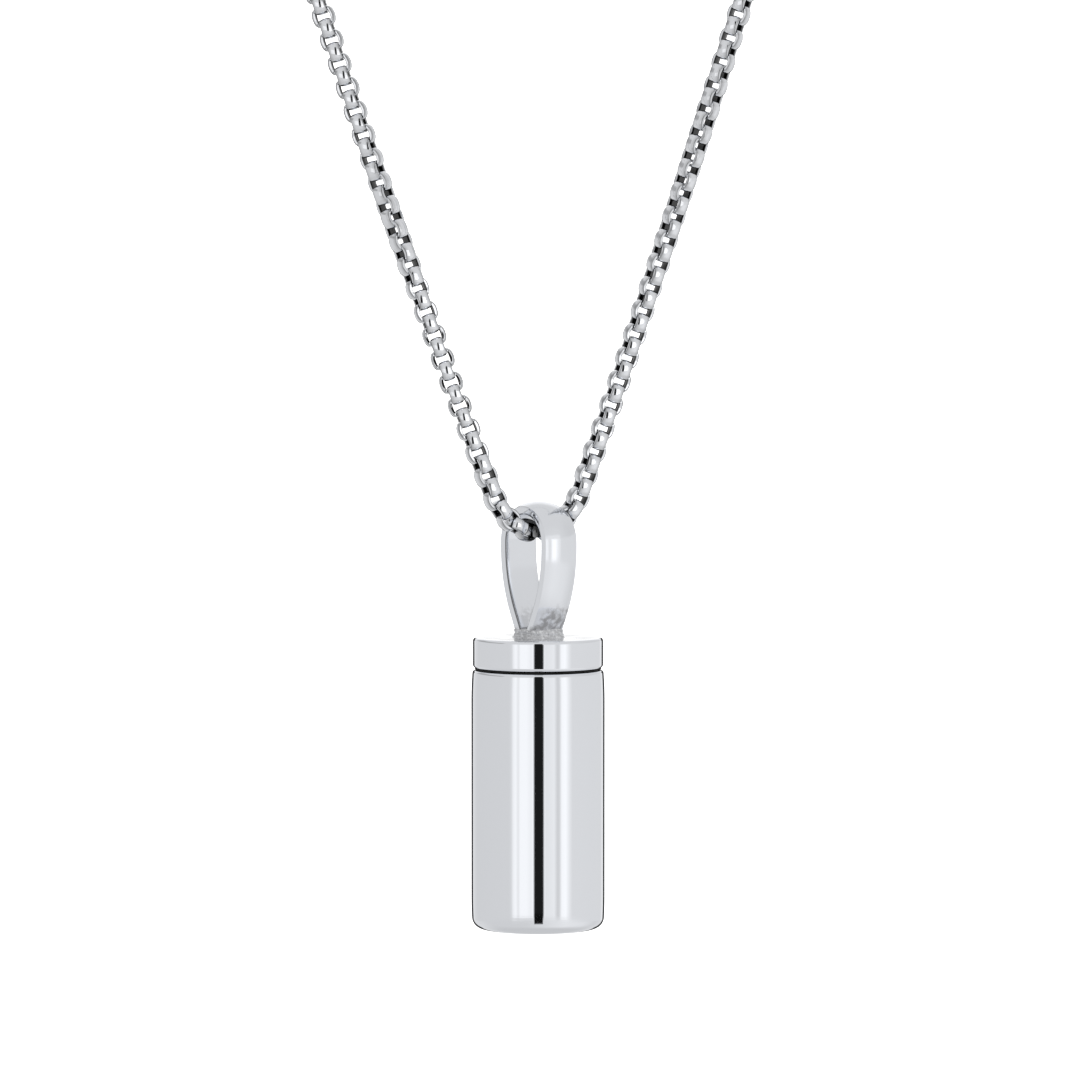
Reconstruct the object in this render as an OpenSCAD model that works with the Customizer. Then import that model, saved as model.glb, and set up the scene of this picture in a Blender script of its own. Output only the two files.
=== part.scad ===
// Keepsake urn pendant on its necklace chain, in millimetres.
// A polished screw-top canister hangs by a cast bail from a closed loop of
// rounded box chain. The origin is where the back of the loop sits on the neck.

/* [Canister] */
// Outside diameter of the canister
body_d = 12.8; // [12:0.1:15]
// Height of the canister below the parting line
body_h = 24.9; // [20:0.1:36]
// Diameter of the hollow for the keepsake
hollow_d = 9; // [8.2:0.1:9.6]
// Thickness of the canister's floor
floor_t = 2; // [1.6:0.1:3]
// Rounding of the top rim
rim_round = 0.35; // [0.2:0.05:0.5]
// Rounding of the foot
foot_round = 1.1; // [0.8:0.05:1.6]
// How far the polished ends are drawn in
ease_in = 0.12; // [0.05:0.01:0.2]
// Height over which each end is drawn in
ease_h = 3; // [2:0.1:4]

/* [Cap] */
// Outside diameter of the cap
cap_d = 12.5; // [11.8:0.1:13]
// Thickness of the cap
cap_h = 2.93; // [2.4:0.01:4]
// Rounding of the cap's edges
cap_round = 0.33; // [0.2:0.01:0.6]
// Length of the plug under the cap
plug_h = 3.6; // [2.6:0.1:5]
// Width of the dark parting line
seam_h = 0.18; // [0.12:0.02:0.3]
// Running clearance round the plug and the gasket
clear = 0.1; // [0.06:0.01:0.14]
// Outside diameter of the gasket
gasket_d = 12.1; // [11:0.1:12.3]

/* [Bail] */
// How far to the right of the cap's middle the bail is soldered
bail_shift = 0.06; // [0:0.02:0.3]
// Turn of the bail from square across the front
bail_turn = 38; // [20:1:50]
// Width of the strip that the bail is bent from
strap_w = 3.8; // [3:0.05:4]
// Thickness of the strip at its crown
strap_t = 1.25; // [1.05:0.05:1.45]
// Thickness of the strip at its edges
strap_edge = 0.8; // [0.4:0.05:0.85]
// Radius of the arch at the middle of the strip
arch_r = 3.3; // [3.1:0.1:3.8]
// Height of the arch's centre above the cap
arch_h = 9.12; // [8.6:0.02:11]
// Depth below the arch's centre at which the legs turn inwards
knee_drop = 0.45; // [0.2:0.05:1.2]
// Radius at which each leg turns inwards
knee_r = 14.5; // [12:0.5:15.5]
// Slope of the lower legs from upright
leg_lean = 26; // [22:1:28]
// Height of the soldered foot
foot_h = 1.15; // [0.9:0.05:2]
// Width of the soldered foot across the strip's edges
foot_w = 3.9; // [3:0.1:4.4]
// Width of the soldered foot across the two legs
foot_l = 3.8; // [3:0.1:4.4]

/* [Chain] */
// Outside width of the chain
chain_w = 2.25; // [2.1:0.05:2.4]
// Length of one link
link_l = 1.87; // [1.8:0.01:2]
// Thickness of a link's end bars
bar_t = 0.26; // [0.2:0.01:0.28]
// Thickness of a link's side strips
side_t = 0.4; // [0.3:0.02:0.44]
// Width of a link's side strips at their ends
side_w = 1.14; // [1:0.02:1.2]
// Width of a link's side strips at the waist
waist_w = 1.06; // [0.8:0.02:1.1]
// Clearance between two links where they pull on each other
link_play = 0.16; // [0.12:0.005:0.2]
// Links modelled one by one on each side of the bail
side_links = 50; // [10:1:60]

/* [Clasp] */
// Outside diameter of the end caps
end_cap_d = 2.8; // [2.6:0.1:3.4]
// Length of one end cap
end_cap_l = 4; // [3:0.5:6]
// Length of the hook between the end caps
hook_l = 9; // [8:0.5:12]
// Width of the hook
hook_w = 5; // [4.4:0.2:6]
// Thickness of the hook
hook_t = 2; // [1.6:0.1:2.4]

/* [Hidden] */
$fn = 64;

// Route of the chain's middle line from the back of the neck, down the left
// strand, through the bail and up the right strand. Heights are measured from
// the lowest point of the chain.
chain_route = [
    [0, 82, 155.4], [-9, 82, 155.4], [-21, 78.6, 155.1], [-32, 71.8, 154.3], [-42, 61.5, 152.8],
    [-49.5, 48, 150.6], [-52.5, 33, 147.5], [-52.5, 18, 141.3], [-49.5, 7.5, 129.7],
    [-44, 3, 114.7], [-36.5, 1, 94.3], [-28.5, 0, 73], [-20.2, -0.8, 48.5], [-15.65, -1.3, 35],
    [-10.95, -1.8, 21.7], [-7.3, -2.25, 11.6], [-4.78, -2.47, 4.89], [-4.35, -2.45, 3.76],
    [-3.87, -2.38, 2.66], [-3.24, -2.15, 1.66], [-2.46, -1.72, 0.86], [-1.59, -1.12, 0.29],
    [-0.63, -0.44, 0], [0.35, 0.24, 0], [1.31, 0.92, 0.29], [2.2, 1.55, 0.84],
    [2.99, 1.99, 1.64], [3.64, 2.24, 2.64], [4.12, 2.29, 3.73], [4.5, 2.27, 4.89],
    [6.85, 2.1, 11.6], [10.25, 1.95, 21.7], [14.6, 1.7, 35], [18.9, 1.5, 48.5], [27, 1.2, 73],
    [35.5, 1.4, 94.3], [43.5, 3, 114.7], [49.5, 7.5, 129.7], [52.5, 18, 141.3], [52.5, 33, 147.5],
    [49.5, 48, 150.6], [42, 61.5, 152.8], [32, 71.8, 154.3], [21, 78.6, 155.1], [9, 82, 155.4],
    [0, 82, 155.4]
];
// Twist of the links about the chain, against the distance from the bail
chain_twist = [
    [-80, 0], [-48, 0], [-44, 5], [-39, 20], [-34, 38], [-30, 52], [-26, 68], [-21.5, 80],
    [-17, 84], [-8.4, 59], [-7.2, 65], [-6, 70], [-4.8, 79], [-3.6, 86.5], [-2.4, 90],
    [2.4, 90], [3.6, 93.5], [4.8, 101], [6, 110], [7.2, 115], [8.4, 121], [16, 106], [23, 112],
    [28, 120], [34, 128], [39, 135], [44, 142], [49, 151], [54, 158], [80, 160]
];
// Steps worked out along each stretch of the route
route_steps = 10;
// Sides and rings of the plain tube that holds the back of the chain
tube_sides = 8;
tube_rings = 40;
// Height of the bail's crown above the middle of the chain
hang_drop = 1.62;

strap_in = strap_t * 0.48;
arch_in = arch_r - strap_in;
crown_rise = strap_t - strap_edge;
crown_r = (strap_w * strap_w / 4 + crown_rise * crown_rise) / (2 * crown_rise);
strap_round = 0.45;
knee_h = arch_h - knee_drop;
leg_h = knee_h - knee_r * sin(leg_lean);
leg_l = (leg_h - foot_h / 3) / cos(leg_lean);

pitch = link_l - 2 * bar_t - link_play;
corner_in = 0.32;
corner_l = 0.5;
tip_cut = 0.24;
bar_half = 0.44;
bar_flat = 0.14;
bar_bevel = 0.17;

plug_d = hollow_d - 2 * clear;
body_r = body_d / 2;

// Distance between two points
function span(a, b) = norm(b - a);

// Direction of the route at point i, weighted by the lengths on both sides
function heading(i) = let(
        last = len(chain_route) - 1,
        a = chain_route[max(i - 1, 0)], b = chain_route[i], c = chain_route[min(i + 1, last)],
        before = span(a, b), after = span(b, c)
    )
    before == 0 ? (c - b) / after
    : after == 0 ? (b - a) / before
    : ((b - a) / before * after + (c - b) / after * before) / (before + after);

// Point of the route at fraction t of stretch i, on a cubic curve
function on_route(i, t) = let(
        a = chain_route[i], b = chain_route[i + 1], reach = span(a, b)
    )
    a * (2 * t * t * t - 3 * t * t + 1) + b * (3 * t * t - 2 * t * t * t)
    + heading(i) * reach * (t * t * t - 2 * t * t + t)
    + heading(i + 1) * reach * (t * t * t - t * t);

route_points = concat(
    [for (i = [0 : len(chain_route) - 2], k = [0 : route_steps - 1]) on_route(i, k / route_steps)],
    [chain_route[len(chain_route) - 1]]
);

// Running sum of the lengths between neighbouring points
function sums(points, i = 0, total = 0, out = []) =
    i == len(points) ? out
    : let(next = i == 0 ? 0 : total + span(points[i - 1], points[i]))
        sums(points, i + 1, next, concat(out, [next]));

route_sums = sums(route_points);
chain_length = route_sums[len(route_sums) - 1];

// Length of the route up to its lowest point, at the middle of the list
bottom_at = lookup(
    (len(chain_route) - 1) / 2 * route_steps,
    [for (i = [0 : len(route_sums) - 1]) [i, route_sums[i]]]
);

table_x = [for (i = [0 : len(route_sums) - 1]) [route_sums[i] - bottom_at, route_points[i][0]]];
table_y = [for (i = [0 : len(route_sums) - 1]) [route_sums[i] - bottom_at, route_points[i][1]]];
table_z = [for (i = [0 : len(route_sums) - 1]) [route_sums[i] - bottom_at, route_points[i][2]]];

// Point of the chain at distance s from the bail, to the right when positive
function at(s) = [lookup(s, table_x), lookup(s, table_y), lookup(s, table_z)];

// Place of the chain's lowest point when the back of the loop is the origin
hang = -chain_route[0];
cap_top = hang_drop - arch_in - arch_h;
cap_bottom = cap_top - cap_h;
body_top = cap_bottom - seam_h;
body_bottom = body_top - body_h;

// Outline of half a round piece with rounded edges, for turning
module turned_profile(radius, height, top_round, bottom_round) {
    translate([0, bottom_round]) square([radius, height - top_round - bottom_round]);
    square([radius - bottom_round, height]);
    translate([0, bottom_round]) square([radius - top_round, height - bottom_round]);
    translate([radius - bottom_round, bottom_round]) circle(bottom_round);
    translate([radius - top_round, height - top_round]) circle(top_round);
}

// Rectangle about its middle with round corners
module round_rectangle(size, radius) {
    square([size[0] - 2 * radius, size[1]], center = true);
    square([size[0], size[1] - 2 * radius], center = true);
    for (x = [-1, 1], y = [-1, 1])
        translate([x * (size[0] / 2 - radius), y * (size[1] / 2 - radius)]) circle(radius);
}

// Half outline of the canister, drawn in a little towards both ends
module canister_outline() {
    intersection() {
        turned_profile(body_r, body_h, rim_round, foot_round);
        polygon([
            [-1, 0], [body_r - ease_in, 0], [body_r, ease_h],
            [body_r, body_h - ease_h], [body_r - ease_in, body_h], [-1, body_h]
        ]);
    }
}

// Hollow canister with a smooth bore where the plug screws in
module urn_body() {
    color("silver") translate(hang + [0, 0, body_bottom]) difference() {
        rotate_extrude() intersection() {
            canister_outline();
            square([body_r, body_h]);
        }
        translate([0, 0, floor_t]) cylinder(d = hollow_d, h = body_h);
    }
}

// Dark ring pinched in the parting line
module gasket() {
    play = seam_h / 10;   // left free above and below the ring
    color("dimgray") translate(hang + [0, 0, body_top + play]) difference() {
        cylinder(d = gasket_d, h = seam_h - 2 * play);
        translate([0, 0, -1]) cylinder(d = plug_d + 2 * clear, h = seam_h + 2);
    }
}

// Section of the bail's strip: flat inside, crowned outside, about its middle
// line, and less all round by a hair where one stretch runs into the next
module strap_section(radius, less = 0) {
    translate([radius - strap_in, 0]) intersection() {
        translate([strap_t, 0])
            round_rectangle([2 * (strap_t - less), strap_w - 2 * less], strap_round);
        translate([strap_t - less - crown_r, 0]) circle(crown_r, $fn = 128);
    }
}

// One leg of the bail, from the arch down to the solder
module bail_leg() {
    translate([0, 0, knee_h]) linear_extrude(arch_h - knee_h + 0.08) strap_section(arch_r, 0.01);
    translate([arch_r - knee_r, 0, knee_h]) {
        rotate([90, 0, 0]) rotate([0, 0, -leg_lean]) rotate_extrude(angle = leg_lean + 0.4)
            strap_section(knee_r, 0.02);
        rotate([0, leg_lean, 0]) translate([0, 0, -leg_l]) linear_extrude(leg_l + 0.1)
            strap_section(knee_r, 0.03);
    }
}

// Teardrop bail with its legs brought together on the soldered foot
module bail() {
    translate([0, 0, arch_h]) rotate([90, 0, 0]) rotate_extrude(angle = 180) strap_section(arch_r);
    bail_leg();
    mirror([1, 0, 0]) bail_leg();
    linear_extrude(foot_h) round_rectangle([foot_l, foot_w], 0.4);
    linear_extrude(foot_h / 4) round_rectangle([foot_l + 0.5, foot_w + 0.5], 0.6);
}

// Cap disc, its plug and the bail soldered on top
module cap_bail() {
    color("silver") translate(hang) {
        translate([0, 0, cap_bottom]) rotate_extrude() intersection() {
            turned_profile(cap_d / 2, cap_h, cap_round, cap_round);
            square([cap_d / 2, cap_h]);
        }
        translate([0, 0, cap_bottom - plug_h]) cylinder(d = plug_d, h = plug_h + cap_h / 2);
        translate([bail_shift, 0, cap_top]) rotate([0, 0, bail_turn - 90]) bail();
    }
}

// Outline of a link seen through its opening, with cut corners
module link_outline() {
    x = chain_w / 2;
    y = link_l / 2;
    polygon([
        [x, corner_l - y], [x, y - corner_l], [x - corner_in, y], [corner_in - x, y],
        [-x, y - corner_l], [-x, corner_l - y], [corner_in - x, -y], [x - corner_in, -y]
    ]);
}

// Outline of a link seen from the side, drawn in at the waist and cut at its tips
module waisted_outline() {
    x = side_w / 2;
    y = link_l / 2;
    polygon([
        [x, tip_cut - y], [waist_w / 2, 0], [x, y - tip_cut], [x - tip_cut, y], [tip_cut - x, y],
        [-x, y - tip_cut], [-waist_w / 2, 0], [-x, tip_cut - y], [tip_cut - x, -y], [x - tip_cut, -y]
    ]);
}

// Section of an end bar: flat outside and rounded inside
module bar_section() {
    inside = link_l / 2 - bar_t;
    polygon([
        [-bar_half, link_l / 2 + 1], [-bar_half, inside + bar_bevel], [-bar_flat, inside],
        [bar_flat, inside], [bar_half, inside + bar_bevel], [bar_half, link_l / 2 + 1]
    ]);
}

// One link: two waisted side strips joined by end bars that are rounded inside
module link() {
    intersection() {
        union() {
            for (side = [-1, 1])
                translate([side * (chain_w - side_t) / 2, 0, 0])
                    cube([side_t, side_w, link_l], center = true);
            for (end = [0, 1]) mirror([0, 0, end]) rotate([90, 0, 90])
                linear_extrude(chain_w - side_t, center = true) bar_section();
        }
        rotate([0, 0, 15]) cylinder(d = chain_w / cos(15), h = link_l, center = true, $fn = 12);
        rotate([90, 0, 0]) linear_extrude(2 * side_w, center = true) link_outline();
        rotate([90, 0, 90]) linear_extrude(2 * chain_w, center = true) waisted_outline();
    }
}

// Turns a piece that stands on Z to point along a direction
module aimed(direction) {
    rotate([0, acos(direction[2] / norm(direction)), atan2(direction[1], direction[0])]) children();
}

// Links one by one, from one side of the bail through it to the other
module chain_front() {
    color("gainsboro") translate(hang) for (k = [-side_links : side_links]) {
        from = at((k - 0.5) * pitch);
        to = at((k + 0.5) * pitch);
        translate((from + to) / 2) aimed(to - from)
            rotate([0, 0, lookup(k * pitch, chain_twist) + (k % 2 == 0 ? 0 : 90)]) link();
    }
}

// Corners of one ring of the tube about point p, across direction d
function ring(p, d, side) = let(
        across = cross(d, [0.5 * side, -0.6, 0.6]), a = across / norm(across), b = cross(d, a) / norm(d)
    )
    [for (k = [0 : tube_sides - 1]) let(turn = 360 * k / tube_sides)
        p + (a * cos(turn) + b * sin(turn)) * chain_w / 2];

// Plain tube along the route from distance s0 to s1
module tube(s0, s1, side) {
    step = (s1 - s0) / (tube_rings - 1);
    corners = [for (i = [0 : tube_rings - 1]) let(s = s0 + i * step)
        each ring(at(s), at(s + 0.2) - at(s - 0.2), side)];
    walls = [for (i = [0 : tube_rings - 2], k = [0 : tube_sides - 1]) let(
            j = (k + 1) % tube_sides, low = i * tube_sides, high = low + tube_sides
        )
        each [[low + k, high + k, high + j], [low + k, high + j, low + j]]];
    start = [for (k = [0 : tube_sides - 1]) k];
    finish = [for (k = [tube_sides - 1 : -1 : 0]) (tube_rings - 1) * tube_sides + k];
    polyhedron(corners, concat(walls, [start, finish]));
}

// The rest of the chain, round the neck to the clasp
module chain_back() {
    start = (side_links + 0.5) * pitch + (link_l - pitch) / 2 + 0.1;
    ends = hook_l / 2 + end_cap_l + 0.1;
    color("gainsboro") translate(hang) {
        tube(start, chain_length - bottom_at - ends, 1);
        tube(-bottom_at + ends, -start, -1);
    }
}

// Plain hook clasp with an end cap for each end of the chain
module clasp() {
    color("silver") {
        for (side = [-1, 1]) translate([side * (hook_l + end_cap_l) / 2, 0, 0]) rotate([0, 90, 0])
            cylinder(d = end_cap_d, h = end_cap_l, center = true);
        difference() {
            linear_extrude(hook_t, center = true) round_rectangle([hook_l + 0.6, hook_w], hook_w / 2 - 0.1);
            linear_extrude(2 * hook_t, center = true)
                round_rectangle([hook_l - 2.4, hook_w - 2.4], hook_w / 2 - 1.3);
        }
    }
}

chain_front();
chain_back();
clasp();
cap_bail();
gasket();
urn_body();
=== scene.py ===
# Keepsake urn pendant on its chain: the looks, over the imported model.
# Lengths are in millimetres, and toMetres scales them for Blender.
import bpy
import math
import numpy as np
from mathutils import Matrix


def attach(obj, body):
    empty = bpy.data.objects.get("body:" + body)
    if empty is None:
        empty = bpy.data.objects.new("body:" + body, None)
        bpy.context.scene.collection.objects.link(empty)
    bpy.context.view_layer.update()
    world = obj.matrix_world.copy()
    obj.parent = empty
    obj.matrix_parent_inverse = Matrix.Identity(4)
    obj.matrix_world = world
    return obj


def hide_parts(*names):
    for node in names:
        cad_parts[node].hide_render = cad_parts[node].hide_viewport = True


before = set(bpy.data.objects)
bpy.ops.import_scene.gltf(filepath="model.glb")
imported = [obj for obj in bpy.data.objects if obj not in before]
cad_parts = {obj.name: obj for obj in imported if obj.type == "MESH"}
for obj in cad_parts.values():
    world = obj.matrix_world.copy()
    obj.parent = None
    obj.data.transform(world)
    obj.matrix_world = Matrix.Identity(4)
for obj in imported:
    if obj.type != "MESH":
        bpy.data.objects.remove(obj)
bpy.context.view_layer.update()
scene = bpy.context.scene
print("frame loaded")

toMetres = 0.001
hang = np.array([0.0, -82.0, -155.4])   # the chain's lowest point

cameraValues = {
    "side": 0.19,        # sideways from the pendant's axis
    "distance": 550.0,   # in front of the pendant's axis
    "above": 27.96,      # above the chain's lowest point
    "pitch": 3.0,        # degrees down
    "lens": 191.6,
    "sensor": 36.0,
    "clip": (0.01, 20.0),   # in metres
}


def addCamera(values):
    camera = bpy.data.objects.new("photoCamera", bpy.data.cameras.new("photoCamera"))
    camera.data.lens = values["lens"]
    camera.data.sensor_width = values["sensor"]
    camera.data.clip_start, camera.data.clip_end = values["clip"]
    place = hang + np.array([values["side"], -values["distance"], values["above"]])
    camera.location = place * toMetres
    camera.rotation_euler = (math.radians(90 - values["pitch"]), 0, 0)
    scene.collection.objects.link(camera)
    scene.camera = camera


addCamera(cameraValues)

# Brightness of the studio, seen in the metal, against the angle from the camera in degrees:
# white panels, grey walls, and a black strip beside the camera.
studioValues = {
    "low": [             # what faces the canister and the cap
        (-176.5, 255), (-174.5, 28), (-156, 28), (-152.5, 232), (-145, 214), (-130, 206),
        (-52, 208), (-47.3, 213), (-43.6, 238), (-39, 247), (-34.4, 228), (-31, 247),
        (-20, 247), (-11, 238), (-8, 251), (-6.4, 27), (9.2, 27), (10.6, 246), (13, 226),
        (28, 233), (34, 205), (37.5, 211), (41.5, 247), (49, 251), (56.8, 228), (62, 216),
        (140, 214), (149, 234), (152.5, 232), (156, 28), (174.5, 28), (176.5, 255),
    ],
    "high": [            # what faces the bail and the chain
        (-170, 246), (-150, 206), (-60, 206), (-20, 216), (20, 212), (60, 214), (100, 204),
        (150, 206), (170, 246),
    ],
    "under": [           # what faces the bail's lower legs
        (-170, 222), (-90, 205), (-20, 206), (50, 228), (90, 222), (120, 207), (170, 222),
    ],
    "divide": (9.0, 12.0),       # degrees above level, between low and high
    "underDivide": (-11.5, -10.0),
    "windows": [         # angles round, angles above level, softness of the edges, brightness
        ((-7.0, 9.0), (9.0, 40.0), 1.0, 10),
        ((-7.0, 9.0), (-13.3, -9.0), 1.0, 14),
        ((-150.0, -62.0), (10.0, 40.0), 9.0, 162),
        ((-175.5, -153.0), (-30.0, 12.0), 2.0, 50),
        ((153.0, 175.5), (-30.0, 12.0), 2.0, 50),
    ],
    "above": 0.64,       # brightness straight up
    "aboveFrom": (24.0, 50.0),     # degrees above level over which it takes over
    "below": 0.56,       # brightness straight down
    "belowFrom": (-28.0, -60.0),
    "whole": 1.08,       # brightness of everything
}


def linearOf(value):
    value = value / 255
    return value / 12.92 if value <= 0.04045 else ((value + 0.055) / 1.055) ** 2.4


def node(tree, kind, **settings):
    made = tree.nodes.new(kind)
    for name, value in settings.items():
        setattr(made, name, value)
    return made


def mathNode(tree, operation, a, b=0.0, c=0.0):
    made = node(tree, "ShaderNodeMath", operation=operation)
    for socket, value in zip(made.inputs, (a, b, c)):
        if isinstance(value, (int, float)):
            socket.default_value = value
        else:
            tree.links.new(value, socket)
    return made.outputs[0]


def smoothBetween(tree, value, start, stop):
    # 0 before start, 1 after stop, smooth between
    made = node(tree, "ShaderNodeMapRange", interpolation_type="SMOOTHSTEP")
    made.inputs["From Min"].default_value = start
    made.inputs["From Max"].default_value = stop
    tree.links.new(value, made.inputs["Value"])
    return made.outputs[0]


def mixTone(tree, factor, before, after):
    # mixes two tones, each a grey value, a colour or the output of a node
    mixed = node(tree, "ShaderNodeMix", data_type="RGBA")
    tree.links.new(factor, mixed.inputs["Factor"])
    for socket, tone in (("A", before), ("B", after)):
        if isinstance(tone, float):
            tone = (tone,) * 3
        if isinstance(tone, tuple):
            mixed.inputs[socket].default_value = tone + (1,)
        else:
            tree.links.new(tone, mixed.inputs[socket])
    return mixed.outputs["Result"]


def panelRamp(tree, degrees, panels):
    # brightness by the angle round, from -180 to 180 degrees; a new ramp has two stops
    along = mathNode(tree, "MULTIPLY_ADD", degrees, 1 / 360, 0.5)
    ramp = node(tree, "ShaderNodeValToRGB")
    tree.links.new(along, ramp.inputs[0])
    stops = ramp.color_ramp.elements
    for i, (angle, value) in enumerate(panels):
        place = (angle + 180) / 360
        stop = stops[i] if i < 2 else stops.new(place)
        stop.position = place
        stop.color = (linearOf(value),) * 3 + (1,)
    return ramp.outputs[0]


def buildWorld(values):
    world = bpy.data.worlds.new("studio")
    scene.world = world
    world.use_nodes = True
    tree = world.node_tree
    tree.nodes.clear()
    # direction (x, y, z): the angle round is atan2(x, -y) and the angle above level asin(z)
    parts = node(tree, "ShaderNodeSeparateXYZ")
    tree.links.new(node(tree, "ShaderNodeTexCoord").outputs["Generated"], parts.inputs[0])
    back = mathNode(tree, "MULTIPLY", parts.outputs["Y"], -1.0)
    turned = mathNode(tree, "ARCTAN2", parts.outputs["X"], back)
    degrees = mathNode(tree, "MULTIPLY", turned, 180 / math.pi)
    lifted = mathNode(tree, "ARCSINE", parts.outputs["Z"])
    rise = mathNode(tree, "MULTIPLY", lifted, 180 / math.pi)
    under, low, high = [panelRamp(tree, degrees, values[band]) for band in ("under", "low", "high")]
    tone = mixTone(tree, smoothBetween(tree, rise, *values["underDivide"]), under, low)
    tone = mixTone(tree, smoothBetween(tree, rise, *values["divide"]), tone, high)
    for (left, right), (bottom, top), soft, value in values["windows"]:
        inside = smoothBetween(tree, degrees, left, left + soft)
        edges = ((degrees, right, -soft), (rise, bottom, soft), (rise, top, -soft))
        for angle, edge, inwards in edges:
            past = smoothBetween(tree, angle, edge, edge + inwards)
            inside = mathNode(tree, "MULTIPLY", inside, past)
        tone = mixTone(tree, inside, tone, linearOf(value))
    tone = mixTone(tree, smoothBetween(tree, rise, *values["aboveFrom"]), tone, values["above"])
    tone = mixTone(tree, smoothBetween(tree, rise, *values["belowFrom"]), tone, values["below"])
    light = node(tree, "ShaderNodeBackground")
    tree.links.new(tone, light.inputs["Color"])
    light.inputs["Strength"].default_value = values["whole"]
    tree.links.new(light.outputs[0], node(tree, "ShaderNodeOutputWorld").inputs[0])


def gridQuads(rows, columns, wrapRows=False):
    # corner numbers of each cell of a grid of points whose rows are rings
    r = np.arange(rows if wrapRows else rows - 1)[:, None]
    c = np.arange(columns)[None, :]
    nextRow, nextColumn = (r + 1) % rows, (c + 1) % columns
    corners = [r * columns + c, r * columns + nextColumn,
               nextRow * columns + nextColumn, nextRow * columns + c]
    return np.stack(corners, -1).reshape(-1, 4)


def endedGrid(rows, columns, flip=False):
    # the same with one face over the first ring and one over the last
    faces = gridQuads(rows, columns).tolist()
    faces.append(list(range(columns))[::-1])
    faces.append(list(range((rows - 1) * columns, rows * columns)))
    return [face[::-1] for face in faces] if flip else faces


def fullTurn(count):
    return np.linspace(0, 2 * math.pi, count, endpoint=False)


def revolve(radius, height, turn):
    # point (u, t): the radius and height at u, carried round the upright axis by angle t
    rings = np.broadcast_arrays(radius * np.cos(turn), radius * np.sin(turn), height)
    return np.stack(rings, -1).reshape(-1, 3)


def putMesh(name, points, faces, material, sharp=40):
    mesh = bpy.data.meshes.new(name)
    mesh.from_pydata((points * toMetres).tolist(), [], faces)
    mesh.validate()
    mesh.shade_smooth()
    mesh.set_sharp_from_angle(angle=math.radians(sharp))
    mesh.materials.append(material)
    made = bpy.data.objects.new(name, mesh)
    scene.collection.objects.link(made)
    return made


def mark(piece, name, values):
    made = piece.data.attributes.new(name, "FLOAT", "POINT")
    made.data.foreach_set("value", np.asarray(values, np.float32).reshape(-1))


def dress(piece, body, slotName, *nodes):
    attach(piece, body)
    if nodes:
        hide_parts(*nodes)
    return piece


def addCards(name, values, piece):
    # white cards in one place, which only the one piece mirrors
    turn = math.radians(values["angle"])
    middle = hang + np.array([0, 0, values["up"]])
    place = middle + np.array([math.sin(turn), -math.cos(turn), 0]) * values["away"]
    receivers = bpy.data.collections.new(name + "Receivers")
    receivers.objects.link(piece)
    for wide, tall, bright in values["sizes"]:
        light = bpy.data.lights.new(name, "AREA")
        light.shape = "RECTANGLE"
        light.size, light.size_y = wide * toMetres, tall * toMetres
        light.energy = math.pi * light.size * light.size_y * bright
        card = bpy.data.objects.new(name, light)
        card.location = place * toMetres
        card.rotation_euler = (math.pi / 2, 0, turn)
        scene.collection.objects.link(card)
        card.light_linking.receiver_collection = receivers


def plainMaterial(name, color, emission=0.0, roughness=0.9):
    material = bpy.data.materials.new(name)
    material.use_nodes = True
    shader = material.node_tree.nodes["Principled BSDF"]
    shader.inputs["Base Color"].default_value = color + (1,)
    shader.inputs["Roughness"].default_value = roughness
    shader.inputs["Emission Color"].default_value = color + (1,)
    shader.inputs["Emission Strength"].default_value = emission
    return material


stageBowl = {
    "below": 108.21,     # floor below the chain's lowest point
    "middle": 1.0,       # radius of the face at the floor's centre
    "flat": 2200.0,      # floor's radius
    "bend": 500.0,       # radius of the curve from floor to wall
    "tall": 2600.0,
    "bendRows": 16,
    "segments": 96,
}


def buildStage(v):
    # point (u, t): a wide bowl's profile at u (flat floor, quarter circle, upright wall) at angle t
    low, flat, bend = hang[2] - v["below"], v["flat"], v["bend"]
    arc = np.linspace(0, math.pi / 2, v["bendRows"])
    radius = np.concatenate([[v["middle"]], flat + bend * np.sin(arc), [flat + bend]])[:, None]
    height = np.concatenate([[low], low + bend * (1 - np.cos(arc)), [low + v["tall"]]])[:, None]
    faces = gridQuads(len(radius), v["segments"]).tolist() + [list(range(v["segments"]))]
    stage = putMesh("paleStage", revolve(radius, height, fullTurn(v["segments"])[None, :]), faces,
                    plainMaterial("paleStageWhite", (1.0, 1.0, 1.0), emission=1.0))
    stage.visible_glossy = False
    stage.visible_diffuse = False


buildWorld(studioValues)
buildStage(stageBowl)
scene.view_settings.view_transform = "Standard"
print("camera and studio ready")

steelTint = (0.905, 0.925, 0.965)
metalMarks = {
    "detail": 4.0,                 # of the noise
    "rough": 0.6,
    "depth": 0.00004,              # of the bump, in metres
    "gloss": (0.7, 1.4),           # least and most roughness, times the metal's own
    "blotchDetail": 5.0,
    "blotchFrom": (0.36, 0.6),     # noise values over which a blotch fades in
    "blotchDull": 0.3,             # roughness that it adds
    "line": (0.02, 0.02, 0.025),   # colour of the painted shade line
}


def noiseNode(tree, vector, scale, detail):
    made = node(tree, "ShaderNodeTexNoise")
    made.inputs["Scale"].default_value = scale
    made.inputs["Detail"].default_value = detail
    tree.links.new(vector, made.inputs["Vector"])
    return made


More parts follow.
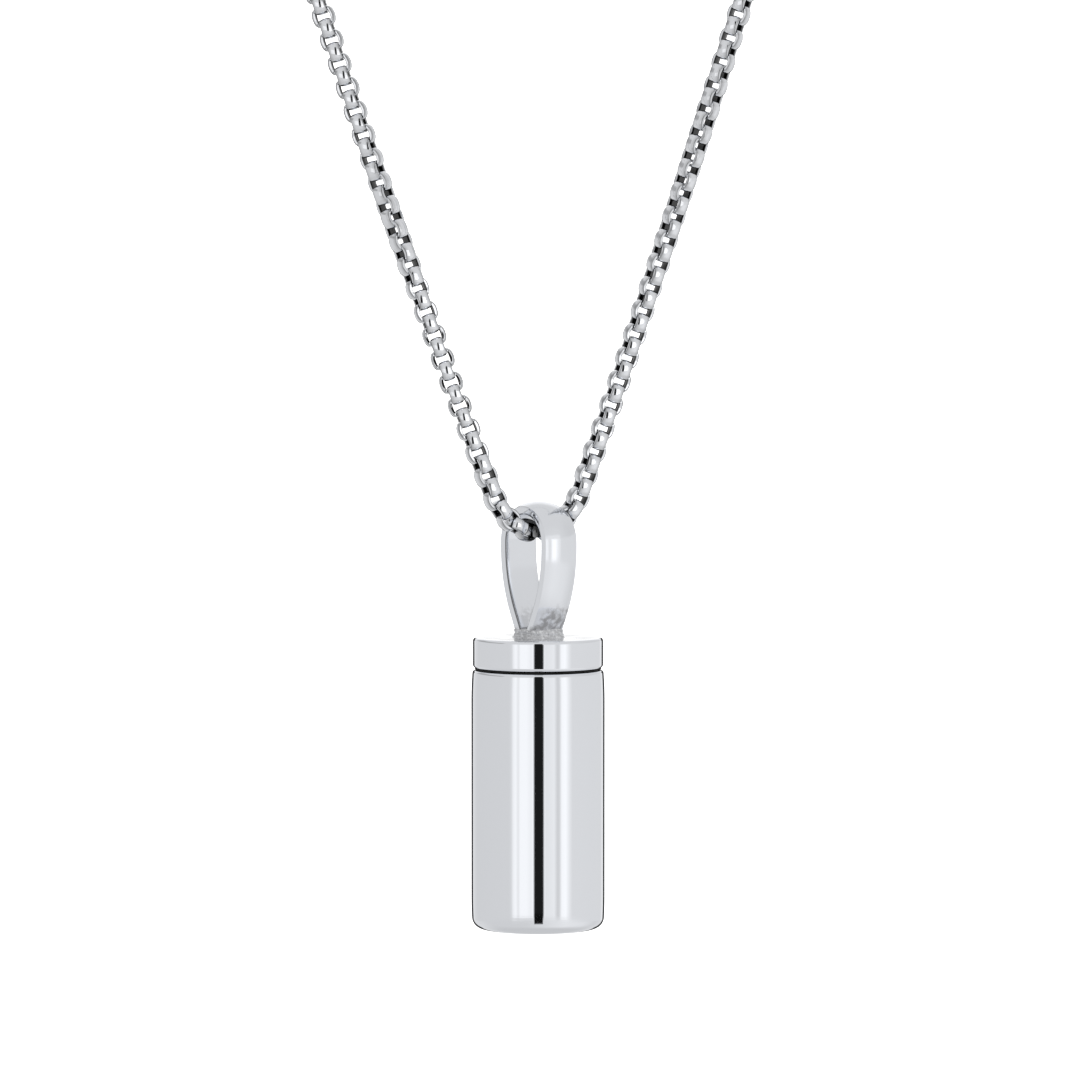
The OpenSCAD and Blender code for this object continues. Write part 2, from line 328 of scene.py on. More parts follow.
def metalMaterial(name, color, roughness, marks, scale, grain=(1, 1, 1), darkAttribute=None,
                  dark=None, mottle=0.0, lineAttribute=None):
    # polished metal with fine marks: noise stretched by grain in object coordinates, as a bump;
    # dark where the first attribute says so, which is tarnish on the bail, cap and solder and
    # painted shade on the chain, in blotches if mottled, and along a line of painted shade
    v = metalMarks
    material = bpy.data.materials.new(name)
    material.use_nodes = True
    tree = material.node_tree
    shader = tree.nodes["Principled BSDF"]
    shader.inputs["Base Color"].default_value = color + (1,)
    shader.inputs["Metallic"].default_value = 1.0
    shader.inputs["Roughness"].default_value = roughness
    spot = node(tree, "ShaderNodeTexCoord").outputs["Object"]
    stretched = node(tree, "ShaderNodeMapping")
    stretched.inputs["Scale"].default_value = grain
    tree.links.new(spot, stretched.inputs[0])
    noise = noiseNode(tree, stretched.outputs[0], scale, v["detail"])
    noise.inputs["Roughness"].default_value = v["rough"]
    bump = node(tree, "ShaderNodeBump")
    bump.inputs["Strength"].default_value = marks
    bump.inputs["Distance"].default_value = v["depth"]
    tree.links.new(noise.outputs["Fac"], bump.inputs["Height"])
    tree.links.new(bump.outputs[0], shader.inputs["Normal"])
    least, most = v["gloss"]
    rough = node(tree, "ShaderNodeMapRange")
    rough.inputs["To Min"].default_value = roughness * least
    rough.inputs["To Max"].default_value = roughness * most
    tree.links.new(noise.outputs["Fac"], rough.inputs["Value"])
    tree.links.new(rough.outputs[0], shader.inputs["Roughness"])
    if darkAttribute:
        shade = node(tree, "ShaderNodeAttribute", attribute_name=darkAttribute)
        factor = shade.outputs["Fac"]
        if mottle:
            blotch = noiseNode(tree, spot, mottle, v["blotchDetail"])
            blotched = smoothBetween(tree, blotch.outputs["Fac"], *v["blotchFrom"])
            factor = mathNode(tree, "MULTIPLY", factor, blotched)
            dulled = mathNode(tree, "MULTIPLY_ADD", factor, v["blotchDull"], roughness)
            tree.links.new(dulled, shader.inputs["Roughness"])
        tone = mixTone(tree, factor, color, dark)
        if lineAttribute:
            line = node(tree, "ShaderNodeAttribute", attribute_name=lineAttribute)
            tone = mixTone(tree, line.outputs["Fac"], tone, v["line"])
        tree.links.new(tone, shader.inputs["Base Color"])
    return material


polished = metalMaterial("polishedSteel", steelTint, 0.04, 0.03, 8.0, grain=(40, 40, 900))
# the bail's grey soldering marks are tarnish; its dark corner line is painted shade
castBright = metalMaterial("castBailSteel", steelTint, 0.12, 0.2, 700.0, darkAttribute="tarnish",
                           dark=(0.52, 0.52, 0.53), mottle=1300.0, lineAttribute="cornerShadeLine")
capBright = metalMaterial("capSteel", steelTint, 0.04, 0.03, 8.0, grain=(40, 40, 900),
                          darkAttribute="tarnish", dark=(0.79, 0.785, 0.78), mottle=500.0)
solderGrey = metalMaterial("solderedFoot", (0.84, 0.85, 0.87), 0.26, 1.0, 1500.0,
                           darkAttribute="tarnish", dark=(0.3, 0.3, 0.31), mottle=3500.0)
# the chain's base colour is darkened by painted shade between and inside its links
chainBright = metalMaterial("chainSteel", (0.9, 0.915, 0.945), 0.08, 0.15, 900.0,
                            darkAttribute="paintedShade", dark=(0.05, 0.05, 0.05))
claspBright = metalMaterial("claspSteel", (0.85, 0.85, 0.86), 0.16, 0.2, 700.0)
# near-black ring in the joint: painted shade of the gap between cap and canister
jointShade = plainMaterial("jointShadeBlack", (0.012, 0.012, 0.012))
print("metals mixed")

canister = {
    "radius": 6.4,       # outside
    "top": -13.31,       # below the chain's lowest point
    "height": 24.9,
    "rimRound": 0.35,
    "footRound": 1.1,
    "easeIn": 0.12,      # how far the ends are drawn in
    "easeHeight": 3.0,
    "bore": 4.5,         # radius of the hollow
    "floor": 2.0,
    "rimBevel": 0.2,     # between the rim and the bore
    "floorBevel": 0.3,   # between the bore and the floor
    "floorStep": 0.01,   # the floor below the bore's last row
    "threadOver": 0.3,   # finely divided beyond the thread
    "sideRows": 40,
    "footRows": 16,
    "rimRows": 10,
    "threadRows": 74,
    "boreRows": 12,
    "segments": 192,
}
thread = {"pitch": 0.75, "depth": 0.26, "long": 3.4}
core = 0.4   # radius of the faces that close a turned piece at its axis


def arcPoints(centre, radius, start, stop, count):
    # points on a circle about centre, from one angle to another in degrees
    turn = np.radians(np.linspace(start, stop, count))
    return np.stack([centre[0] + radius * np.cos(turn), centre[1] + radius * np.sin(turn)], -1)


def linePoints(a, b, count):
    t = np.linspace(0, 1, count)[:, None]
    return np.array(a) * (1 - t) + np.array(b) * t


def turnedPiece(name, profile, depth, material, segments):
    # point (u, t): the profile's radius and height at u, carried round the upright axis by
    # angle t; where depth is not 0, the radius changes by depth times a wave that climbs one
    # pitch a turn, so it makes a right-hand thread
    turn = fullTurn(segments)[None, :]
    radius, height = profile[:, :1], profile[:, 1:]
    wave = 0.5 + 0.5 * np.cos(2 * math.pi * (height / thread["pitch"]) - turn)
    points = revolve(radius + depth[:, None] * wave, height, turn) + hang
    return putMesh(name, points, endedGrid(len(profile), segments), material, sharp=50)


def threadDepth(height, low, high, depth):
    # full depth along the thread, fading out over half a pitch at both ends
    fade = thread["pitch"] / 2
    return depth * np.clip((height - low) / fade, 0, 1) * np.clip((high - height) / fade, 0, 1)


def buildCanister(v):
    foot = v["top"] - v["height"]
    side = np.linspace(foot + v["footRound"], v["top"] - v["rimRound"], v["sideRows"])
    fromEnd = np.minimum(side - foot, v["top"] - side)
    drawn = v["easeIn"] * np.clip(1 - fromEnd / v["easeHeight"], 0, 1) ** 2
    footEdge = v["radius"] - drawn[0] - v["footRound"]
    rimEdge = v["radius"] - drawn[-1] - v["rimRound"]
    boreTop, floor = v["top"] - v["rimBevel"], foot + v["floor"]
    threadLow = v["top"] - thread["long"] - v["threadOver"]
    # of the evenly spaced rows, the last three lie beside the thread
    bore = np.concatenate([np.linspace(boreTop, threadLow, v["threadRows"]),
                           np.linspace(floor, boreTop, v["boreRows"])[:-3]])
    bore = np.sort(bore)[::-1]
    floorRow = floor - v["floorStep"]
    profile = np.concatenate([
        linePoints((core, foot), (footEdge, foot), 3)[:-1],
        arcPoints((footEdge, foot + v["footRound"]), v["footRound"], -90, 0, v["footRows"])[:-1],
        np.stack([v["radius"] - drawn, side], -1),
        arcPoints((rimEdge, v["top"] - v["rimRound"]), v["rimRound"], 0, 90, v["rimRows"])[1:],
        [[v["bore"] + v["rimBevel"], v["top"]]],
        np.stack([np.full(len(bore), v["bore"]), bore], -1),
        [[v["bore"] - v["floorBevel"], floorRow], [core, floorRow]],
    ])
    depth = np.zeros(len(profile))
    depth[-2 - len(bore):-2] = threadDepth(bore, threadLow, v["top"] + v["rimBevel"],
                                           thread["depth"])
    piece = turnedPiece("canister", profile, depth, polished, v["segments"])
    return dress(piece, "canister", "polished_steel", "urn_body")


cap = {
    "radius": 6.25,
    "top": -10.2,        # below the chain's lowest point
    "height": 2.93,
    "edgeRound": 0.33,
    "plugRadius": 4.4,
    "plugLong": 3.6,
    "plugBevel": (0.3, 0.25),   # at the plug's tip, inwards and upwards
    "undercut": 0.05,    # between the plug and the cap's underside
    "threadGap": 0.15,   # plain stretch under the cap
    "edgeRows": 10,
    "plugRows": 80,
    "tarnish": {"strength": 0.6, "radius": 6.0, "soft": 0.6, "deep": 0.01},   # marks on the top
}


def buildCap(v):
    low, edge = v["top"] - v["height"], v["edgeRound"]
    tip, inner = low - v["plugLong"], v["radius"] - edge
    bevelIn, bevelUp = v["plugBevel"]
    plug = np.linspace(tip + bevelUp, low - v["undercut"], v["plugRows"])
    profile = np.concatenate([
        [[core, tip], [v["plugRadius"] - bevelIn, tip]],
        np.stack([np.full(len(plug), v["plugRadius"]), plug], -1),
        [[v["plugRadius"], low]],
        linePoints((v["plugRadius"] + v["undercut"], low), (inner, low), 4)[:-1],
        arcPoints((inner, low + edge), edge, -90, 0, v["edgeRows"])[:-1],
        linePoints((v["radius"], low + edge), (v["radius"], v["top"] - edge), 6),
        arcPoints((inner, v["top"] - edge), edge, 0, 90, v["edgeRows"])[1:],
        linePoints((inner, v["top"]), (core, v["top"]), 8)[1:],
    ])
    depth = np.zeros(len(profile))
    depth[2:2 + len(plug)] = threadDepth(plug, tip, low - v["threadGap"], -thread["depth"])
    piece = turnedPiece("capDisc", profile, depth, capBright, canister["segments"])
    stain = v["tarnish"]
    onTop = profile[:, 1] > v["top"] - stain["deep"]
    fading = np.clip((stain["radius"] - profile[:, 0]) / stain["soft"], 0, 1)
    mark(piece, "tarnish", np.repeat(stain["strength"] * onTop * fading, canister["segments"]))
    return dress(piece, "cap", "polished_steel", "cap_bail")


# the ring in the joint is near-black, as painted shade of the gap
jointShadeRing = {
    "outer": 6.08,       # radii
    "inner": 4.5,
    "low": -13.292,      # below the chain's lowest point
    "high": -13.148,
    "square": 0.7,       # how square the section is
    "tube": 14,
}


def buildJointShadeRing(v):
    # point (a, t): a rounded rectangle between the radii and heights, carried round by t
    around = fullTurn(v["tube"])[:, None]
    halfWide, halfTall = (v["outer"] - v["inner"]) / 2, (v["high"] - v["low"]) / 2
    square = np.maximum(np.abs(np.cos(around)), np.abs(np.sin(around))) ** -v["square"]
    radius = (v["outer"] + v["inner"]) / 2 + halfWide * np.clip(np.cos(around) * square, -1, 1)
    height = (v["high"] + v["low"]) / 2 + halfTall * np.clip(np.sin(around) * square, -1, 1)
    points = revolve(radius, height, fullTurn(canister["segments"])[None, :]) + hang
    faces = gridQuads(v["tube"], canister["segments"], wrapRows=True).tolist()
    piece = putMesh("jointShadeRing", points, faces, jointShade)
    return dress(piece, "seal", "seal", "gasket")


buildCanister(canister)
buildCap(cap)
buildJointShadeRing(jointShadeRing)
print("canister, cap and gasket turned")

bail = {
    "turn": 38.0,        # degrees from square across the front
    "shift": 0.06,       # to the right of the canister's axis
    "wide": 3.8,         # strip's width
    "thick": 1.25,       # at the crown
    "edge": 0.8,         # at the edges
    "inside": 0.6,       # middle line to the flat inner face
    "rim": 0.02,         # the crown stops this far from the edges
    "bevel": 0.03,       # and meets the sides this far inwards
    "cornerRound": 0.22,   # the inner corners' radius
    "cornerRise": 0.05,  # straight sides end this far from it
    "sectionRows": (21, 6, 8),   # over crown, corner and inner face
    "archRadius": 3.3,   # of the middle line
    "archHeight": 9.12,  # arch's centre above the cap
    "kneeHeight": 8.67,  # knee's centre above the cap
    "kneeRadius": 14.5,
    "lean": 26.0,        # degrees, lower legs
    "footStart": 0.35,   # where the legs start above the cap
    "pathRows": (16, 14, 5, 26),   # along leg, knee, straight and half of the arch
    "tarnish": {         # grey marks of the soldering
        "height": 3.0,
        "drop": 1.7,     # so much lower towards the strip's edge at -y
        "dropFrom": (-0.8, 1.1),   # where the drop starts, and over how much
        "wave": 0.12,
        "waves": 5,
        "soft": 0.4,
        "inner": 0.4,    # strength on the inner faces
    },
    "cornerShade": {            # thin line of painted shade along the inner corners
        "deep": 0.12,
        "wide": 0.13,
        "rear": 0.85,    # strength on the rear leg
        "front": 0.8,    # and on the front leg
        "frontTop": 6.8,   # up to this height there
    },
    "cards": {"angle": 42.0, "away": 36.0, "up": 1.3,   # the sizes are wide, tall, bright
              "sizes": [(27.0, 21.0, 0.1), (23.5, 19.6, 0.12), (20.5, 17.6, 0.22)]},
}
solder = {
    "half": 1.93,        # half of its width
    "tall": 1.15,
    "uneven": 0.05,      # share by which its height varies
    "flare": 0.16,       # wider at the cap
    "flareTop": 0.35,    # share of the height that flares
    "shutFrom": 0.62,    # share of the height where the top starts to close
    "shutPower": 2.4,
    "tip": 0.12,         # share of the width that is left at the top
    "square": 5,         # how square it is from above
    "lump": 0.05,
    "sink": 0.02,        # into the cap
    "tarnish": 0.4,
    "rows": 26,
    "segments": 96,
}


def bailPath(v):
    # right leg up, knee, straight, half of the arch, then the same mirrored; with normals
    legRows, kneeRows, straightRows, archRows = v["pathRows"]
    lean = math.radians(v["lean"])
    kneeX = v["archRadius"] - v["kneeRadius"]
    end = np.array([kneeX + v["kneeRadius"] * math.cos(lean),
                    v["kneeHeight"] - v["kneeRadius"] * math.sin(lean)])
    start = end - np.array([math.tan(lean), 1]) * (end[1] - v["footStart"])
    straight = [(v["archRadius"], v["kneeHeight"]), (v["archRadius"], v["archHeight"])]
    half = np.concatenate([
        linePoints(start, end, legRows)[:-1],
        arcPoints((kneeX, v["kneeHeight"]), v["kneeRadius"], -v["lean"], 0, kneeRows)[:-1],
        linePoints(*straight, straightRows)[:-1],
        arcPoints((0, v["archHeight"]), v["archRadius"], 0, 90, archRows),
    ])
    angles = np.radians(np.concatenate([
        np.full(legRows - 1, -v["lean"]),
        np.linspace(-v["lean"], 0, kneeRows)[:-1],
        np.zeros(straightRows - 1),
        np.linspace(0, 90, archRows),
    ]))
    path = np.concatenate([half, half[-2::-1] * [-1, 1]])
    normals = np.stack([np.cos(angles), np.sin(angles)], -1)
    normals = np.concatenate([normals, normals[-2::-1] * [-1, 1]])
    return path, normals


def strapSection(v):
    # flat inside, short edges and a crowned outside, with rounded corners; (outward, across)
    crownRows, cornerRows, flatRows = v["sectionRows"]
    rise, half, r = v["thick"] - v["edge"], v["wide"] / 2, v["cornerRound"]
    crown = (v["wide"] ** 2 / 4 + rise ** 2) / (2 * rise)
    top = v["thick"] - v["inside"]
    limit = math.degrees(math.asin((half - v["rim"]) / crown))
    arc = np.radians(np.linspace(-limit, limit, crownRows))
    outside = np.stack([top - crown + crown * np.cos(arc), crown * np.sin(arc)], -1)
    right = [[top - rise - v["bevel"], half], [-v["inside"] + r + v["cornerRise"], half]]
    corner = arcPoints((-v["inside"] + r, half - r), r, 90, 180, cornerRows)
    flat = linePoints((-v["inside"], half - r), (-v["inside"], r - half), flatRows)[1:-1]
    side = np.concatenate([right, corner])
    return np.concatenate([outside, side, flat, (side * [1, -1])[::-1]])


def standBail(v, local):
    # local x across the legs, y along the strip's width, z up from the cap
    turn = math.radians(v["turn"] - 90)
    x = local[:, 0] * math.cos(turn) - local[:, 1] * math.sin(turn)
    y = local[:, 0] * math.sin(turn) + local[:, 1] * math.cos(turn)
    return np.stack([x + v["shift"], y, local[:, 2] + cap["top"]], -1) + hang


def buildBail(v):
    # point (s, a): the strip's section at a, carried along the bail's middle line at s
    path, normals = bailPath(v)
    section = strapSection(v)
    x = path[:, None, 0] + normals[:, None, 0] * section[None, :, 0]
    z = path[:, None, 1] + normals[:, None, 1] * section[None, :, 0]
    y = np.broadcast_to(section[None, :, 1], x.shape)
    points = standBail(v, np.stack([x, y, z], -1).reshape(-1, 3))
    rows, columns = x.shape
    piece = putMesh("bailStrip", points, endedGrid(rows, columns, flip=True), castBright, sharp=35)
    # tarnish: up to a slanted, wavy line, and fainter on the inner faces
    stain, cornerShade = v["tarnish"], v["cornerShade"]
    dropStart, dropOver = stain["dropFrom"]
    edge = (stain["height"] - stain["drop"] * np.clip((dropStart - y) / dropOver, 0, 1)
            + stain["wave"] * np.sin(stain["waves"] * y + 1))
    faint = np.where(section[:, 0] < 0, stain["inner"], 1)
    mark(piece, "tarnish", np.clip((edge - z) / stain["soft"], 0, 1) * faint)
    # painted shade line: along the inner corners, fainter on the front leg and only low down
    corner = ((section[:, 0] < cornerShade["deep"] - v["inside"])
              & (np.abs(section[:, 1]) > v["wide"] / 2 - cornerShade["wide"]))
    strength = np.where(x > 0, cornerShade["front"] * (z < cornerShade["frontTop"]), cornerShade["rear"])
    mark(piece, "cornerShadeLine", corner * strength)
    return dress(piece, "cap", "polished_steel", "cap_bail")


def buildSolder(v):
    # point (h, t): a rounded square that flares at the cap and closes at the top, with lumps
    up = np.linspace(0, 1, v["rows"])[:, None]
    turn = fullTurn(v["segments"])[None, :]
    power = v["square"]
    square = (np.abs(np.cos(turn)) ** power + np.abs(np.sin(turn)) ** power) ** (-1 / power)
    flare = v["flare"] * (1 - up / v["flareTop"]).clip(0, 1) ** 2
    closing = ((up - v["shutFrom"]) / (1 - v["shutFrom"])).clip(0, 1) ** v["shutPower"]
    shut = np.sqrt(np.clip(1 - closing, 0.0, 1))
    radius = (v["half"] + flare) * (v["tip"] + (1 - v["tip"]) * shut)
    lumps = (np.sin(5 * turn + 7 * up) * np.sin(3 * turn - 11 * up + 1)
             + 0.6 * np.sin(13 * turn + 9 * up))
    radius = (radius + v["lump"] * lumps * (1 - up)) * square
    height = v["tall"] * up * (1 + v["uneven"] * np.sin(4 * turn + 1)) - v["sink"]
    points = standBail(bail, revolve(radius, height, turn))
    piece = putMesh("solderedFoot", points, endedGrid(v["rows"], v["segments"]), solderGrey,
                    sharp=60)
    mark(piece, "tarnish", np.full(len(piece.data.vertices), v["tarnish"]))
    return dress(piece, "cap", "polished_steel")


bailStrip = buildBail(bail)
addCards("bailCard", bail["cards"], bailStrip)
buildSolder(solder)
print("bail bent and soldered")

chain = {
    "wide": 2.25,        # across the links
    "long": 1.98,        # one link
    "pitch": 1.19,
    "bar": 0.26,         # end bar's thickness
    "strip": 0.46,       # side strip's thickness
    "stripEnd": 1.26,    # side strip's width at its ends
    "stripWaist": 1.1,
    "barWide": 0.9,      # end bar's width
    "square": 5.5,       # how square the loop's corners are
    "bulge": 0.14,       # how far the middle of each end stands out
    "barrel": 0.14,      # how far the side strips' ends are drawn in
    "waistPower": 1.6,   # how late the side strips widen towards their ends
    "cornerPower": 0.35,   # how soon the end bars widen into them
    "endShade": 0.4,     # painted shade of the end bars' insides against the side strips'
    "eyeFacing": [0.9, 0.3, 0.5],   # inside the bail, painted shadow of the bail on the chain grows this way
    "eyeDark": 1.4,
    "eyeMiddle": 0.6,    # round this place on the chain
    "eyeReach": 2.6,     # up to this far from it
    "eyePower": 10,      # how sharply it ends
    "fine": 50,          # finely modelled links on each side of the bail
    "fineCorners": 40,   # points round the loop of each
    "last": 205,         # links on each side up to the clasp
    "lastCorners": 12,
    "cards": {"angle": 29.0, "away": 900.0, "up": 120.0, "sizes": [(480.0, 620.0, 0.6)]},
}
# route from the back of the neck, through the bail and back, from the chain's lowest point
chainRoute = np.array([
    [0, 82, 155.4], [-9, 82, 155.4], [-21, 78.6, 155.1], [-32, 71.8, 154.3], [-42, 61.5, 152.8],
    [-49.5, 48, 150.6], [-52.5, 33, 147.5], [-52.5, 18, 141.3], [-49.5, 7.5, 129.7],
    [-44, 3, 114.7], [-36.5, 1, 94.3], [-28.5, 0, 73], [-20.2, -0.8, 48.5], [-15.65, -1.3, 35],
    [-10.95, -1.8, 21.7], [-7.3, -2.25, 11.6], [-4.78, -2.47, 4.89], [-4.35, -2.45, 3.76],
    [-3.87, -2.38, 2.66], [-3.24, -2.15, 1.66], [-2.46, -1.72, 0.86], [-1.59, -1.12, 0.29],
    [-0.63, -0.44, 0], [0.35, 0.24, 0], [1.31, 0.92, 0.29], [2.2, 1.55, 0.84],
    [2.99, 1.99, 1.64], [3.64, 2.24, 2.64], [4.12, 2.29, 3.73], [4.5, 2.27, 4.89],
    [6.85, 2.1, 11.6], [10.25, 1.95, 21.7], [14.6, 1.7, 35], [18.9, 1.5, 48.5], [27, 1.2, 73],
    [35.5, 1.4, 94.3], [43.5, 3, 114.7], [49.5, 7.5, 129.7], [52.5, 18, 141.3], [52.5, 33, 147.5],
    [49.5, 48, 150.6], [42, 61.5, 152.8], [32, 71.8, 154.3], [21, 78.6, 155.1], [9, 82, 155.4],
    [0, 82, 155.4],
], float)
# twist of the links in degrees against the distance from the bail
chainTwist = np.array([
    [-80, 0], [-48, 0], [-44, 5], [-39, 20], [-34, 38], [-30, 52], [-26, 68], [-21.5, 80],
    [-17, 84], [-8.4, 59], [-7.2, 65], [-6, 70], [-4.8, 79], [-3.6, 86.5], [-2.4, 90],
    [2.4, 90], [3.6, 93.5], [4.8, 101], [6, 110], [7.2, 115], [8.4, 121], [16, 106], [23, 112],
    [28, 120], [34, 128], [39, 135], [44, 142], [49, 151], [54, 158], [80, 160],
], float)


def routeCurve(route, steps=10):
    # cubic curve through the points, with the length-weighted direction at each
    legs = np.diff(route, axis=0)
    reach = np.linalg.norm(legs, axis=1)[:, None]
    units = legs / reach
    inner = (units[:-1] * reach[1:] + units[1:] * reach[:-1]) / (reach[:-1] + reach[1:])
    headings = np.concatenate([units[:1], inner, units[-1:]])
    t = (np.arange(steps) / steps)[None, :, None]
    a, b = route[:-1, None], route[1:, None]
    ha, hb = headings[:-1, None] * reach[:, None], headings[1:, None] * reach[:, None]
    curve = (a * (2 * t ** 3 - 3 * t ** 2 + 1) + b * (3 * t ** 2 - 2 * t ** 3)
             + ha * (t ** 3 - 2 * t ** 2 + t) + hb * (t ** 3 - t ** 2))
    curve = np.concatenate([curve.reshape(-1, 3), route[-1:]])
    sums = np.concatenate([[0], np.cumsum(np.linalg.norm(np.diff(curve, axis=0), axis=1))])
    middle = (len(route) - 1) / 2 * steps
    return curve, sums - np.interp(middle, np.arange(len(sums)), sums)


def curveAt(curve, sums, s):
    # points of the curve at the lengths s from its middle
    return np.stack([np.interp(s, sums, curve[:, i]) for i in range(3)], -1)


# section of a link: outward, across, and how much painted shade, from 1 outside to -1 inside
fineSection = np.array([
    [1, -0.96, 0.7], [1, -0.8, 0.3], [1, -0.4, 0.03], [1, 0, 0], [1, 0.4, 0.03], [1, 0.8, 0.3],
    [1, 0.96, 0.7], [0.84, 1, 0.4], [0.5, 1, 0.02], [-0.5, 1, 0], [-0.8, 1, 0.5],
    [-1, 0.86, 0.96], [-1, 0, 0.96], [-1, -0.86, 0.96],
    [-0.8, -1, 0.5], [-0.5, -1, 0], [0.5, -1, 0.02], [0.84, -1, 0.4],
])
coarseSection = np.array([
    [1, -0.9, 0.3], [1, 0, 0], [1, 0.9, 0.3], [-0.5, 1, 0.1], [-1, 0, 0.7], [-0.5, -1, 0.1],
])


def linkForm(v, around, section):
    # point (u, k): a barrel-shaped loop at angle u, with the section's corner k; the outside
    # bends to the chain's round envelope and the ends of the strips bulge
    u = fullTurn(around)[:, None] + math.pi / around
    power = v["square"]
    halfX, halfZ = (v["wide"] - v["strip"]) / 2, (v["long"] - v["bar"]) / 2
    cu, su = np.cos(u), np.sin(u)
    reach = (np.abs(cu / halfX) ** power + np.abs(su / halfZ) ** power) ** (-1 / power)
    x, z = reach * cu, reach * su
    nx = np.sign(cu) * np.abs(x / halfX) ** (power - 1) / halfX
    nz = np.sign(su) * np.abs(z / halfZ) ** (power - 1) / halfZ
    size = np.hypot(nx, nz)
    nx, nz = nx / size, nz / size
    sideways = nx ** 2
    thick = (v["bar"] + (v["strip"] - v["bar"]) * sideways) / 2
    flank = (v["stripWaist"] + (v["stripEnd"] - v["stripWaist"])
             * np.abs(z / halfZ) ** v["waistPower"])
    width = (v["barWide"] + (flank - v["barWide"]) * sideways ** v["cornerPower"]) / 2
    out, y = thick * section[None, :, 0], width * section[None, :, 1]
    px, pz = x + nx * out, z + nz * out
    bend = v["wide"] / 2 - np.sqrt(np.maximum((v["wide"] / 2) ** 2 - y ** 2, 0))
    px = px * (1 - v["barrel"] * (pz / halfZ) ** 2)
    px = px - np.sign(px) * sideways * bend * (section[None, :, 0] > 0)
    pz = pz * (1 - v["bulge"] * (y / v["stripEnd"] * 2) ** 2)
    points = np.stack([px, np.broadcast_to(y, px.shape), pz], -1).reshape(-1, 3)
    # painted shade from the section's third column, weaker on the end bars
    dark = section[None, :, 2] * (v["endShade"] + (1 - v["endShade"]) * sideways)
    dark = np.broadcast_to(dark, px.shape).reshape(-1)
    return points, gridQuads(around, len(section), wrapRows=True)[:, ::-1], dark


def linkTurns(direction, roll):
    # rotation of each link: roll about its own axis, then tilt, then heading
    polar = np.arccos(direction[:, 2])
    heading = np.arctan2(direction[:, 1], direction[:, 0])
    ca, sa, cp, sp = np.cos(heading), np.sin(heading), np.cos(polar), np.sin(polar)
    cr, sr = np.cos(roll), np.sin(roll)
    return np.stack([
        np.stack([ca * cp * cr - sa * sr, -ca * cp * sr - sa * cr, ca * sp], -1),
        np.stack([sa * cp * cr + ca * sr, -sa * cp * sr + ca * cr, sa * sp], -1),
        np.stack([-sp * cr, sp * sr, cp], -1),
    ], 1)


def buildLinks(name, v, numbers, around, section, replaced):
    # each numbered link: the form's points, turned and set one pitch apart along the route
    points, quads, inner = linkForm(v, around, section)
    curve, sums = routeCurve(chainRoute)
    start = curveAt(curve, sums, (numbers - 0.5) * v["pitch"])
    stop = curveAt(curve, sums, (numbers + 0.5) * v["pitch"])
    direction = (stop - start) / np.linalg.norm(stop - start, axis=1)[:, None]
    roll = np.radians(np.interp(numbers * v["pitch"], chainTwist[:, 0], chainTwist[:, 1])
                      + 90 * (numbers % 2))
    turns = linkTurns(direction, roll)
    placed = np.einsum("nij,mj->nmi", turns, points) + (start + stop)[:, None] / 2 + hang
    step = np.arange(len(numbers))[:, None, None] * len(points)
    faces = (quads[None] + step).reshape(-1, 4).tolist()
    piece = putMesh(name, placed.reshape(-1, 3), faces, chainBright, sharp=42)
    # painted shade: the insides of the side strips, and inside the bail all that faces up and right
    # painted shadow of the bail on the links in its eye
    offset = np.einsum("nij,mj->nmi", turns, points) @ np.array(v["eyeFacing"])
    fromMiddle = np.abs(numbers * v["pitch"] - v["eyeMiddle"]) / v["eyeReach"]
    near = np.clip(1 - fromMiddle ** v["eyePower"], 0, 1)[:, None]
    shade = np.maximum(inner[None], near * np.clip(v["eyeDark"] + offset, 0, 1))
    mark(piece, "paintedShade", shade)
    return dress(piece, "chain", "chain_steel", replaced)


nearNumbers = np.arange(-chain["fine"], chain["fine"] + 1)
nearLinks = buildLinks("chainNearBail", chain, nearNumbers, chain["fineCorners"], fineSection,
                       "chain_front")
addCards("chainCard", chain["cards"], nearLinks)
farNumbers = np.arange(chain["fine"] + 1, chain["last"] + 1)
buildLinks("chainRoundNeck", chain, np.concatenate([-farNumbers[::-1], farNumbers]),
           chain["lastCorners"], coarseSection, "chain_back")
print("chain linked")

clasp = {
    "capRadius": 1.4,    # end caps
    "capLong": 4.0,
    "capEdge": 0.3,      # radius of its edges and of its closing faces
    "capArcRows": 7,
    "groove": [(1.0, 0.0), (1.1, 0.12), (1.3, 0.12), (1.4, 0.0)],   # along the cap, and how deep
    "capSegments": 48,
    "hookLong": 9.0,     # between the end caps
    "hookOver": 0.6,     # reaches into them
    "hookWide": 5.0,
    "hookThick": 2.0,
    "hookBar": 1.2,      # width of the bar that is bent into the hook
    "hookSquare": 3.0,   # how square the loop's corners are
    "hookRound": 0.7,    # how round the bar is, 1 for a circle
    "hookSegments": 96,
    "barSegments": 16,
}


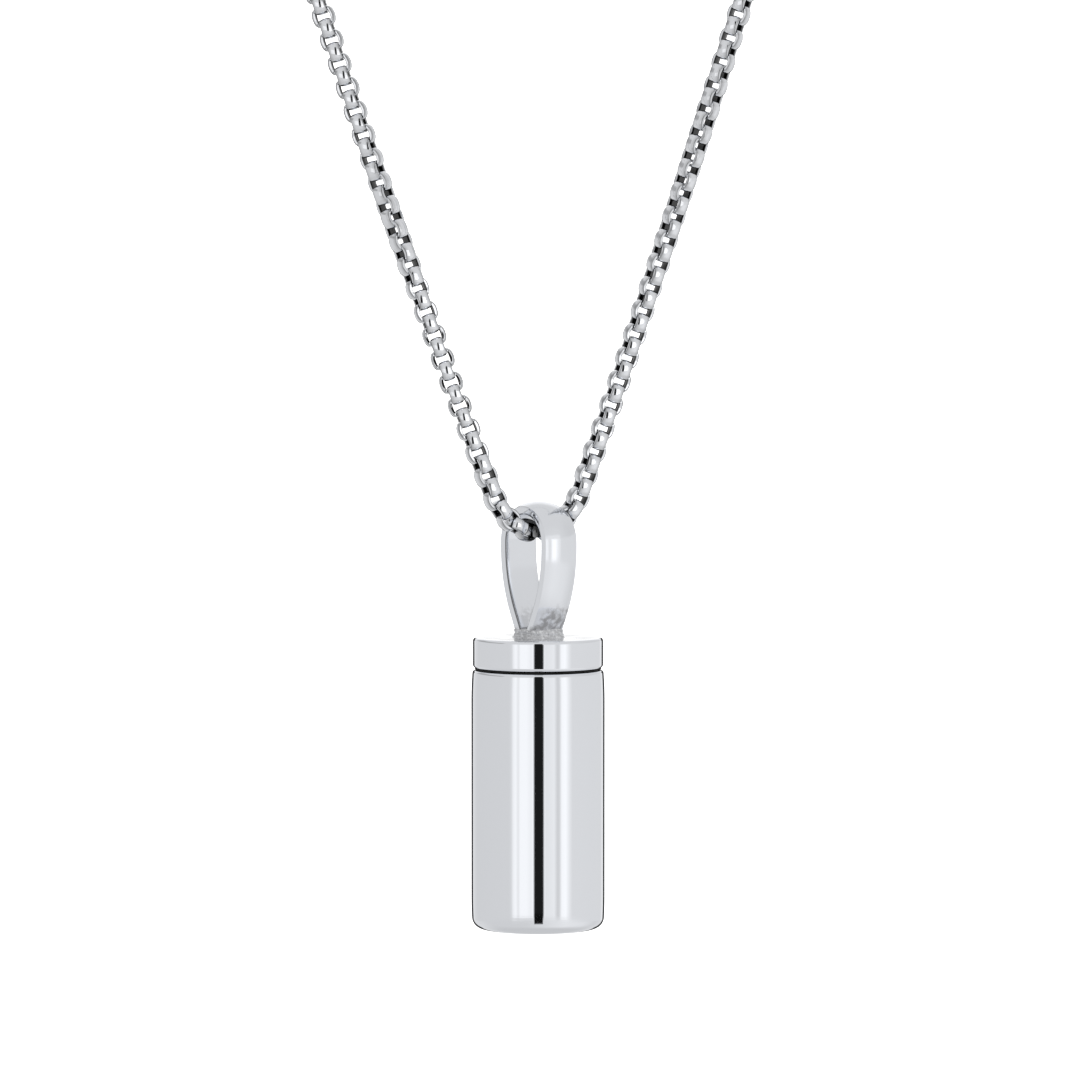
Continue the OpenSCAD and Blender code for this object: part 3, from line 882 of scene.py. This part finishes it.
def buildEndCap(v, side):
    # point (u, t): a cup's profile carried round the chain's direction, rounded at both ends
    start, stop = v["hookLong"] / 2, v["hookLong"] / 2 + v["capLong"]
    r, e, rows = v["capRadius"], v["capEdge"], v["capArcRows"]
    profile = np.concatenate([
        [[start, e]],
        arcPoints((start + e, r - e), e, 180, 90, rows),
        [[start + along, r - deep] for along, deep in v["groove"]],
        arcPoints((stop - e, r - e), e, 90, 0, rows),
        [[stop, e]],
    ])
    turn = fullTurn(v["capSegments"])[None, :]
    along, radius = profile[:, :1], profile[:, 1:]
    points = np.stack(np.broadcast_arrays(along * side, radius * np.cos(turn) * side,
                                          radius * np.sin(turn)), -1).reshape(-1, 3)
    faces = endedGrid(len(profile), v["capSegments"], flip=True)
    name = "endCapRight" if side > 0 else "endCapLeft"
    piece = putMesh(name, points, faces, claspBright, sharp=45)
    return dress(piece, "chain", "clasp_steel", "clasp")


def buildHook(v):
    # point (u, w): a rounded section at w carried round a long rounded loop at u
    u = fullTurn(v["hookSegments"])[:, None]
    w = fullTurn(v["barSegments"])[None, :] + math.pi / v["barSegments"]
    bar, power, soft = v["hookBar"], v["hookSquare"], v["hookRound"]
    halfX, halfY = (v["hookLong"] + v["hookOver"] - bar) / 2, (v["hookWide"] - bar) / 2
    cu, su = np.cos(u), np.sin(u)
    x = halfX * np.sign(cu) * np.abs(cu) ** (2 / power)
    y = halfY * np.sign(su) * np.abs(su) ** (2 / power)
    nx = np.sign(cu) * np.abs(x / halfX) ** (power - 1) / halfX
    ny = np.sign(su) * np.abs(y / halfY) ** (power - 1) / halfY
    size = np.hypot(nx, ny)
    out = bar / 2 * np.sign(np.cos(w)) * np.abs(np.cos(w)) ** soft
    z = v["hookThick"] / 2 * np.sign(np.sin(w)) * np.abs(np.sin(w)) ** soft
    points = np.stack(np.broadcast_arrays(x + nx / size * out, y + ny / size * out, z), -1)
    faces = gridQuads(v["hookSegments"], v["barSegments"], wrapRows=True).tolist()
    piece = putMesh("claspHook", points.reshape(-1, 3), faces, claspBright)
    return dress(piece, "chain", "clasp_steel", "clasp")


buildEndCap(clasp, 1)
buildEndCap(clasp, -1)
buildHook(clasp)
print("clasp closed")
